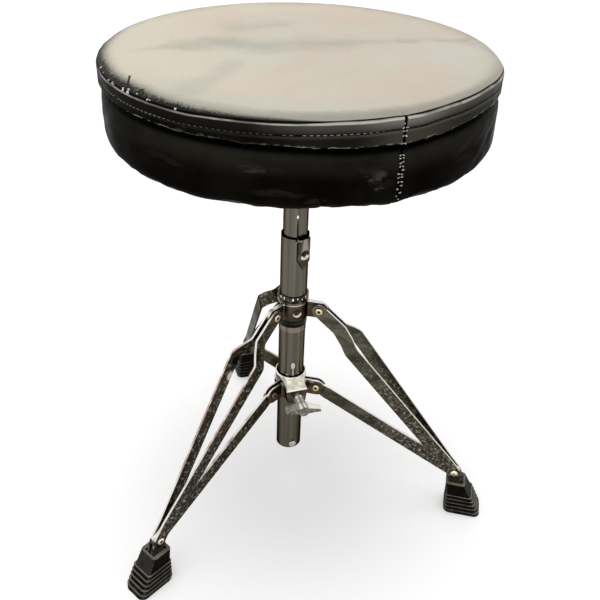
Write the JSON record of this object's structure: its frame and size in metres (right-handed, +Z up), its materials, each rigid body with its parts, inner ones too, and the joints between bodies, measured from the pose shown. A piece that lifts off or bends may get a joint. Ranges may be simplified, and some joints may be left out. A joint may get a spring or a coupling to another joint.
{
  "type": "drum throne",
  "caption": "Round padded drum throne on a folding tripod: chromed column, paired strip legs, flat braces, a sliding clamp collar with a wing bolt, and ribbed rubber feet.",
  "frame": {"origin": "on the floor under the column's axis", "axes": "+Z up along the column, -Y towards the collar's wing bolt, one leg along +Y and the others at 120 degrees to it"},
  "size_m": [0.3718, 0.3614, 0.4666],
  "materials": {
    "tube_chrome": "polished",
    "pressed_chrome": "polished",
    "leg_chrome": "satin",
    "wing_bolt_chrome": "satin",
    "rivet_yellow": "satin",
    "hidden_steel": "satin",
    "plate_black": "satin",
    "ring_black": "satin",
    "foot_rubber": "matte",
    "seat_vinyl": "gloss",
    "board_wood": "matte"
  },
  "bodies": {
    "column": {"outer_tube": "tube_chrome", "clamp_nut": "hidden_steel", "tube_stop_screw": "hidden_steel", "tube_stop_nut": "hidden_steel", "locking_ring": "pressed_chrome", "nylon_ring": "ring_black", "bracket_front": "pressed_chrome", "bracket_rear_right": "pressed_chrome", "bracket_rear_left": "pressed_chrome", "leg_right_pivot_rivet": "rivet_yellow", "leg_back_pivot_rivet": "rivet_yellow", "leg_left_pivot_rivet": "rivet_yellow"},
    "collar": {"collar_sleeve": "pressed_chrome", "collar_nut": "hidden_steel", "collar_front": "pressed_chrome", "collar_rear_right": "pressed_chrome", "collar_rear_left": "pressed_chrome", "collar_rivets": "rivet_yellow"},
    "wing_bolt": {"wing_bolt": "wing_bolt_chrome"},
    "post": {"seat_post": "tube_chrome", "post_top_plug": "ring_black", "post_foot_plug": "ring_black"},
    "seat": {"seat_cushion": "seat_vinyl", "seat_board": "board_wood", "hem_staples": "hidden_steel", "seat_plate": "plate_black", "plate_screws": "hidden_steel", "seat_socket": "tube_chrome", "seat_retaining_screw": "hidden_steel"},
    "leg_right": {"leg_right_strip_a": "leg_chrome", "leg_right_strip_b": "leg_chrome", "leg_right_foot_rivet": "rivet_yellow", "foot_right": "foot_rubber"},
    "brace_right": {"brace_right": "leg_chrome"},
    "leg_back": {"leg_back_strip_a": "leg_chrome", "leg_back_strip_b": "leg_chrome", "leg_back_foot_rivet": "rivet_yellow", "foot_back": "foot_rubber"},
    "brace_back": {"brace_back": "leg_chrome"},
    "leg_left": {"leg_left_strip_a": "leg_chrome", "leg_left_strip_b": "leg_chrome", "leg_left_foot_rivet": "rivet_yellow", "foot_left": "foot_rubber"},
    "brace_left": {"brace_left": "leg_chrome"}
  },
  "joints": [
    {"name": "collar_slide", "type": "slide", "parent": "column", "child": "collar", "axis": [0, 0, 1], "range_m": [0, 0.0323]},
    {"name": "wing_bolt_turn", "type": "hinge", "parent": "collar", "child": "wing_bolt", "pos_m": [0, -0.03, 0.1319], "axis": [0, -1, 0], "range_deg": [0, 720]},
    {"name": "post_slide", "type": "slide", "parent": "column", "child": "post", "axis": [0, 0, 1], "range_m": [0, 0.12]},
    {"name": "seat_swivel", "type": "hinge", "parent": "post", "child": "seat", "pos_m": [0, 0, 0.39], "axis": [0, 0, 1], "continuous": true},
    {"name": "leg_right_fold", "type": "hinge", "parent": "column", "child": "leg_right", "pos_m": [0.02234, -0.0129, 0.225], "axis": [0.5, 0.866, 0], "range_deg": [0, 36]},
    {"name": "brace_right_hinge", "type": "hinge", "parent": "leg_right", "child": "brace_right", "pos_m": [0.15285, -0.08825, 0.0488], "axis": [0.5, 0.866, 0], "range_deg": [0, 19.2]},
    {"name": "leg_back_fold", "type": "hinge", "parent": "column", "child": "leg_back", "pos_m": [0, 0.0258, 0.225], "axis": [-1, 0, 0], "range_deg": [0, 36]},
    {"name": "brace_back_hinge", "type": "hinge", "parent": "leg_back", "child": "brace_back", "pos_m": [0, 0.1765, 0.0488], "axis": [-1, 0, 0], "range_deg": [0, 19.2]},
    {"name": "leg_left_fold", "type": "hinge", "parent": "column", "child": "leg_left", "pos_m": [-0.02234, -0.0129, 0.225], "axis": [0.5, -0.866, 0], "range_deg": [0, 36]},
    {"name": "brace_left_hinge", "type": "hinge", "parent": "leg_left", "child": "brace_left", "pos_m": [-0.15285, -0.08825, 0.0488], "axis": [0.5, -0.866, 0], "range_deg": [0, 19.2]}
  ],
  "couplings": [
    {"joint": "leg_right_fold", "follows": "collar_slide", "rad_per_m": 19.447},
    {"joint": "brace_right_hinge", "follows": "collar_slide", "rad_per_m": 10.344},
    {"joint": "leg_back_fold", "follows": "collar_slide", "rad_per_m": 19.447},
    {"joint": "brace_back_hinge", "follows": "collar_slide", "rad_per_m": 10.344},
    {"joint": "leg_left_fold", "follows": "collar_slide", "rad_per_m": 19.447},
    {"joint": "brace_left_hinge", "follows": "collar_slide", "rad_per_m": 10.344}
  ]
}
